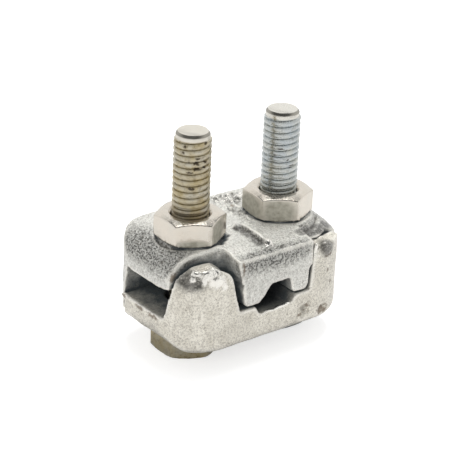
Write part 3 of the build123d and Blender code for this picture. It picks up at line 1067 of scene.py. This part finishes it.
# %% Finish of the upper casting
upper_stains = [
    # the left corner, the lumps behind the nuts, and the left of the leg
    ((-25.5, -9.6, 25.8), (1.0, 0.8, 1.6)),
    ((6.3, 8.2, 31.4), (1.0, 0.8, 0.8)),
    ((-9.7, -17.2, 27.5), (0.5, 0.6, 2.0)),
]
upper_mottle_and_reflection = [
    # painted dark reflection over real grain on the front edge of the leg and the left shoulder
    ((0.5, -17.3, 29.3), (16.0, 3.0, 4.6)),
    ((-24.0, -0.5, 29.6), (6.5, 15.0, 3.8)),
]
upper_shiny = [
    # end of the rib, and the lumps behind the nuts
    ((0.3, -14.5, 30.4), (1.2, 1.0, 0.9)),
    ((8.0, 12.6, 31.4), (4.2, 2.2, 1.2)),
]
upper_painted_shade = [
    # painted shade in the hollow that runs round the front of the right nut
    ((12.4, -12.4, 30.3), (2.2, 1.1, 1.0)),
    ((15.8, -11.4, 29.4), (2.8, 1.3, 1.3)),
    ((19.5, -10.2, 28.7), (2.8, 1.5, 1.5)),
    ((23.4, -8.6, 27.9), (2.8, 1.7, 1.5)),
    ((12.2, -13.4, 29.9), (1.8, 0.9, 0.9)),
    ((15.4, -12.4, 28.9), (2.4, 1.0, 1.1)),
    ((18.7, -11.8, 28.2), (2.4, 1.0, 1.1)),
    ((21.8, -11.0, 27.6), (2.2, 1.2, 1.1)),
    # painted shadow in the wedge beside the left nut
    ((-6.7, -5.1, 31), (1.6, 1.3, 1.6)),
    ((-8.5, -6.6, 31), (1.6, 1.3, 1.6)),
    ((-10.4, -7.9, 31), (1.2, 0.8, 1.5)),
    # painted shade on the left side of the rib
    ((-1.3, -4.6, 30.9), (0.95, 2.8, 1.3)),
    ((-1.4, -8.0, 30.8), (0.95, 3.0, 1.3)),
    ((-1.4, -11.6, 30.4), (0.95, 2.8, 1.3)),
]
# painted shade, near black, in the roof of the rope channel
rope_channel_roof = [((1.5, -9.5, 19.0), (8.0, 6.6, 4.0))]
upper_zinc = galvanised(
    "galvanised_upper",
    pale=(0.86, 0.855, 0.81, 1),
    middle=(0.75, 0.75, 0.71, 1),
    dark=(0.085, 0.085, 0.078, 1),
    grain=0.95,
    sandy=0.50,
    mottle_and_reflection_spots=upper_mottle_and_reflection,
    stains=upper_stains,
    shiny=upper_shiny,
    shade_and_dark=upper_painted_shade,
    shade_spots=rope_channel_roof,
)

# %% [markdown]
# ## Zinc on the bolts
#
# Both bolts have a thinner and brighter layer of zinc than the castings. The left one has gone
# yellow brown and has rust spots, the right one is still bluish. Dirt has gathered at the foot of
# the free thread, just above each nut. The end is cleaner, and its bevel is painted dark as a
# painted dark reflection. The finish finds both by their height, because nothing else on the
# clip is that high up.

# %% Zinc on the bolts
end_metal = (0.80, 0.77, 0.70, 1)
# the bevel colour is a painted dark reflection
bevel_painted_reflection = (0.25, 0.235, 0.20, 1)
rust_brown = (0.06, 0.042, 0.028, 1)


def plated(name, ground, clouds, dirt, dirt_share, rust, shine):
    """Bright zinc, cloudy tones, dirt, a few dark rust spots, a cleaner end, painted dark bevel."""
    material, tree = new_tree(name)
    place = node(tree, "TexCoord").outputs["Object"]
    height = node(tree, "SeparateXYZ", {0: place}).outputs["Z"]

    def by_height(none_at, full_at):
        """0 at one height and 1 at another, in millimetres; the first may be the higher one."""
        return ramp(tree, height, none_at * mm, full_at * mm)

    end = by_height(bolt_end_z - 1.9, bolt_end_z - 1.5)
    bevel = by_height(bevel_low - 0.05, bevel_low + 0.05)
    bevel = times(tree, bevel, by_height(bolt_end_z - 0.02, bolt_end_z - 0.10))
    foot = by_height(nut_low + 10.5, nut_low + 7.0)
    foot = times(tree, foot, by_height(nut_low - 2, nut_low))
    cloudy = noise(tree, place, 3.2, 4)
    blotchy = noise(tree, place, 1.1, 4, 0.6)
    fine = noise(tree, place, 0.35, 3, 0.65)
    colour = blend_colour(tree, ramp(tree, cloudy, 0.35, 0.65), ground, clouds)
    # dirt in blotches, and all round above the nut
    dirty = ramp(tree, blotchy, 0.62 - dirt_share * 0.3, 0.74)
    dirty = times(tree, dirty, ramp(tree, fine, 0.35, 0.6))
    gathered = maths(tree, "MULTIPLY", foot, plus(tree, fine, dirt_share * 0.3), clamp=True)
    dirty = maths(tree, "MAXIMUM", dirty, gathered)
    colour = blend_colour(tree, times(tree, dirty, 0.8), colour, dirt)
    spots = patches(tree, place, rust, noise(tree, place, 0.6, 3))
    colour = blend_colour(tree, times(tree, spots, 0.85), colour, rust_brown)
    colour = blend_colour(tree, times(tree, end, 0.85), colour, end_metal)
    # painted dark reflection on the bevel
    colour = blend_colour(tree, times(tree, bevel, 0.8), colour, bevel_painted_reflection)
    rough = plus(tree, times(tree, blotchy, 0.20), shine)
    rough = plus(tree, rough, times(tree, spots, 0.3))
    metal(tree, colour, rough, bump(tree, fine, 0.5, 0.05), 0.92)
    print(name, "has", len(tree.nodes), "nodes")
    return material


# %% Rust and colour of each bolt
left_rust = [
    ((-15.6, -4.3, 52.1), (0.8, 0.8, 0.45)),
    ((-15.5, -4.3, 50.6), (1.3, 0.9, 0.4)),
    ((-17.8, -2.4, 56.3), (0.4, 0.6, 0.4)),
    ((-13.2, -4.7, 57.0), (0.7, 0.6, 0.35)),
    ((-15.2, -4.4, 53.3), (0.7, 0.6, 0.25)),
    ((-13.3, -4.7, 52.2), (0.5, 0.6, 0.3)),
    ((-13.2, -4.7, 50.9), (0.5, 0.6, 0.35)),
    ((-18.0, -1.9, 54.7), (0.4, 0.6, 0.3)),
    ((-17.0, -3.4, 49.6), (0.9, 0.7, 0.35)),
    ((-11.2, -4.0, 54.9), (0.5, 0.6, 0.4)),
    ((-10.4, -3.4, 48.4), (0.5, 0.7, 0.5)),
    ((-16.6, -3.7, 45.4), (0.8, 0.7, 0.4)),
]
right_rust = [
    ((11.3, -3.5, 49.7), (0.8, 0.7, 0.30)),
    ((13.2, -4.5, 46.5), (0.30, 0.5, 0.5)),
    ((14.1, -4.7, 44.9), (1.2, 0.6, 0.30)),
    ((10.5, -2.5, 47.7), (0.5, 0.5, 0.3)),
    ((17.6, -3.6, 53.2), (0.4, 0.6, 0.4)),
    ((18.2, -2.9, 48.3), (0.4, 0.6, 0.5)),
    ((17.9, -3.2, 43.6), (0.5, 0.6, 0.4)),
]
left_bolt_zinc = plated(
    "yellowed_zinc",
    ground=(0.48, 0.405, 0.24, 1),
    clouds=(0.55, 0.52, 0.43, 1),
    dirt=(0.13, 0.09, 0.05, 1),
    dirt_share=0.5,
    rust=left_rust,
    shine=0.24,
)
right_bolt_zinc = plated(
    "bluish_zinc",
    ground=(0.50, 0.54, 0.56, 1),
    clouds=(0.58, 0.59, 0.555, 1),
    dirt=(0.20, 0.20, 0.17, 1),
    dirt_share=0.2,
    rust=right_rust,
    shine=0.16,
)

# %% [markdown]
# ## Zinc on the nuts
#
# The nuts are satin with a pink tinge. Two faces of the right one, the right face of the left one
# and a band low on the left nut are painted darker and greenish as painted shade, and are rougher
# and less metallic there. Only the sides are painted so: the tops of both nuts stay bright.

# %% Zinc on the nuts
# painted shade on some sides of the nuts and on a band low on the left one
left_nut_shade = [
    ((-10.6, -7.6, 34.0), (3.6, 3.2, 4.5)),
    ((-17.3, -7.0, 31.7), (5.0, 3.2, 1.3)),
]
right_nut_shade = [
    ((6.6, 1.0, 33.2), (2.2, 6.5, 4.2)),
    ((9.6, -6.4, 33.5), (5.0, 4.6, 4.5)),
]
pink_zinc = (0.745, 0.685, 0.605, 1)
warm_zinc = (0.71, 0.67, 0.60, 1)
pale_green = (0.47, 0.455, 0.385, 1)
dark_green = (0.34, 0.325, 0.265, 1)
dark_speck = (0.14, 0.11, 0.08, 1)


def nut_plating(name, shade_and_dark_spots):
    """Satin zinc with a pink tinge, and painted shade: faces painted darker and greenish."""
    material, tree = new_tree(name)
    place = node(tree, "TexCoord").outputs["Object"]
    height = node(tree, "SeparateXYZ", {0: place}).outputs["Z"]
    cloudy = noise(tree, place, 4.0, 3)
    blotchy = noise(tree, place, 1.2, 4, 0.6)
    fine = noise(tree, place, 0.4, 3, 0.65)
    colour = blend_colour(tree, ramp(tree, cloudy, 0.35, 0.65), pink_zinc, warm_zinc)
    # painted shade: the sides in the listed patches turn darker and greenish, below the top only
    below_top = ramp(tree, height, (nut_high - 0.5) * mm, (nut_high - 1.1) * mm)
    shade_and_dark = times(tree, patches(tree, place, shade_and_dark_spots), below_top)
    green = blend_colour(tree, ramp(tree, blotchy, 0.40, 0.62), pale_green, dark_green)
    colour = blend_colour(tree, times(tree, shade_and_dark, 0.95), colour, green)
    specks = times(tree, ramp(tree, fine, 0.64, 0.70), 0.4)
    colour = blend_colour(tree, specks, colour, dark_speck)
    rough = plus(tree, times(tree, blotchy, 0.12), 0.16)
    rough = plus(tree, rough, times(tree, shade_and_dark, 0.35))
    metallic = maths(tree, "SUBTRACT", 0.95, times(tree, shade_and_dark, 0.5))
    metal(tree, colour, rough, bump(tree, fine, 0.35, 0.04), metallic)
    print(name, "has", len(tree.nodes), "nodes")
    return material


# %% [markdown]
# ## Putting it together
#
# Noise moves the skin outwards too, and the part must not grow by it. So every vertex is held
# inside the box of the solids. Then each piece gets its finish, rides on the body that it
# belongs to, so that the jaws open and the nuts turn with the joints, and stands for its solid.

# %% Keep every piece inside the box of the solids
def keep_inside(piece, box):
    """Flattens what the noise has pushed past a box, and returns the farthest move in mm."""
    spots = points_of(piece)
    held = spots.clip(np.array(box[0]), np.array(box[1]))
    place_points(piece, held)
    return float(np.abs(held - spots).max() / mm)


for piece in (lower, upper, *bolts.values(), *nuts.values()):
    print(piece.name, "was held back by", round(keep_inside(piece, solid_box), 2), "mm at most")

# %% Put the finishes on and hang every piece on its body
def dress(piece, material, body, solid):
    """Gives a piece its finish, its body, and the solid that it stands for."""
    piece.data.materials.clear()
    piece.data.materials.append(material)
    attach(piece, body)
    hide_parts(solid)


dress(lower, lower_zinc, "base", "lower_saddle")
dress(upper, upper_zinc, "upper", "upper_saddle")
dress(bolts["left"], left_bolt_zinc, "base", "left_bolt")
dress(bolts["right"], right_bolt_zinc, "base", "right_bolt")
left_nut_zinc = nut_plating("nut_zinc_left", left_nut_shade)
right_nut_zinc = nut_plating("nut_zinc_right", right_nut_shade)
dress(nuts["left"], left_nut_zinc, "left_nut", "left_nut")
dress(nuts["right"], right_nut_zinc, "right_nut", "right_nut")

# %% [markdown]
# ## Colours and triangles
#
# The Standard view shows each colour as it is written. Then we count the triangles.

bpy.context.scene.view_settings.view_transform = "Standard"
pieces = [lower, upper, *bolts.values(), *nuts.values()]
print("triangles:", {p.name: sum(len(f.vertices) - 2 for f in p.data.polygons) for p in pieces})
